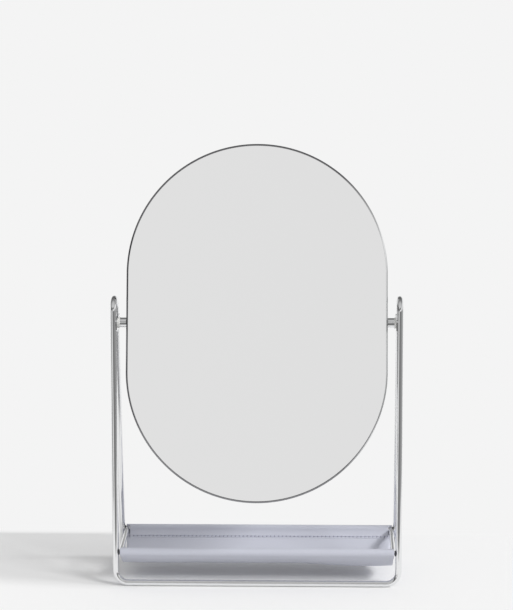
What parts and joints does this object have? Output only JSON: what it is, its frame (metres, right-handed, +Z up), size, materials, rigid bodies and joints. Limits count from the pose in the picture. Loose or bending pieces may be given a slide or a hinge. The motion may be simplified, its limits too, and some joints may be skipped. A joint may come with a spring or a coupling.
{
  "type": "tilting table mirror",
  "caption": "Pill-shaped table mirror in a thin band, pivoting between two wire hairpins, with a shallow open leather tray slung between them.",
  "frame": {"origin": "on the table, midway between the two floor bars and the two sides", "axes": "+Z up, the front towards -Y, +X to the right as seen from the front"},
  "size_m": [0.186, 0.0738, 0.2793],
  "materials": {
    "chrome": "polished",
    "mirror_glass": "polished",
    "painted_sheet": "satin",
    "fibreboard": "raw",
    "foam": "matt",
    "nylon": "satin",
    "spring_steel": "satin",
    "lilac_leather": "matt",
    "lilac_lining": "matt"
  },
  "bodies": {
    "stand": {"hairpin_left": "chrome", "pivot_plate_left": "chrome", "tray_side_bar_left": "chrome", "hairpin_right": "chrome", "pivot_plate_right": "chrome", "tray_side_bar_right": "chrome", "floor_bar_front": "chrome", "tray_rail_front": "chrome", "floor_bar_rear": "chrome", "tray_rail_rear": "chrome", "tray_skin": "lilac_leather", "tray_lining": "lilac_lining", "tray_stiffener": "fibreboard"},
    "head": {"rim_band": "chrome", "front_glass": "mirror_glass", "foam_pad": "foam", "back_board": "fibreboard", "back_cover": "painted_sheet", "pivot_boss_left": "chrome", "inner_washer_left": "nylon", "outer_washer_left": "nylon", "cup_spring_left": "spring_steel", "pivot_screw_left": "chrome", "pivot_boss_right": "chrome", "inner_washer_right": "nylon", "outer_washer_right": "nylon", "cup_spring_right": "spring_steel", "pivot_screw_right": "chrome"}
  },
  "joints": [
    {"name": "head_tilt", "type": "hinge", "parent": "stand", "child": "head", "pos_m": [0, 0, 0.1685], "axis": [1, 0, 0], "continuous": true}
  ]
}
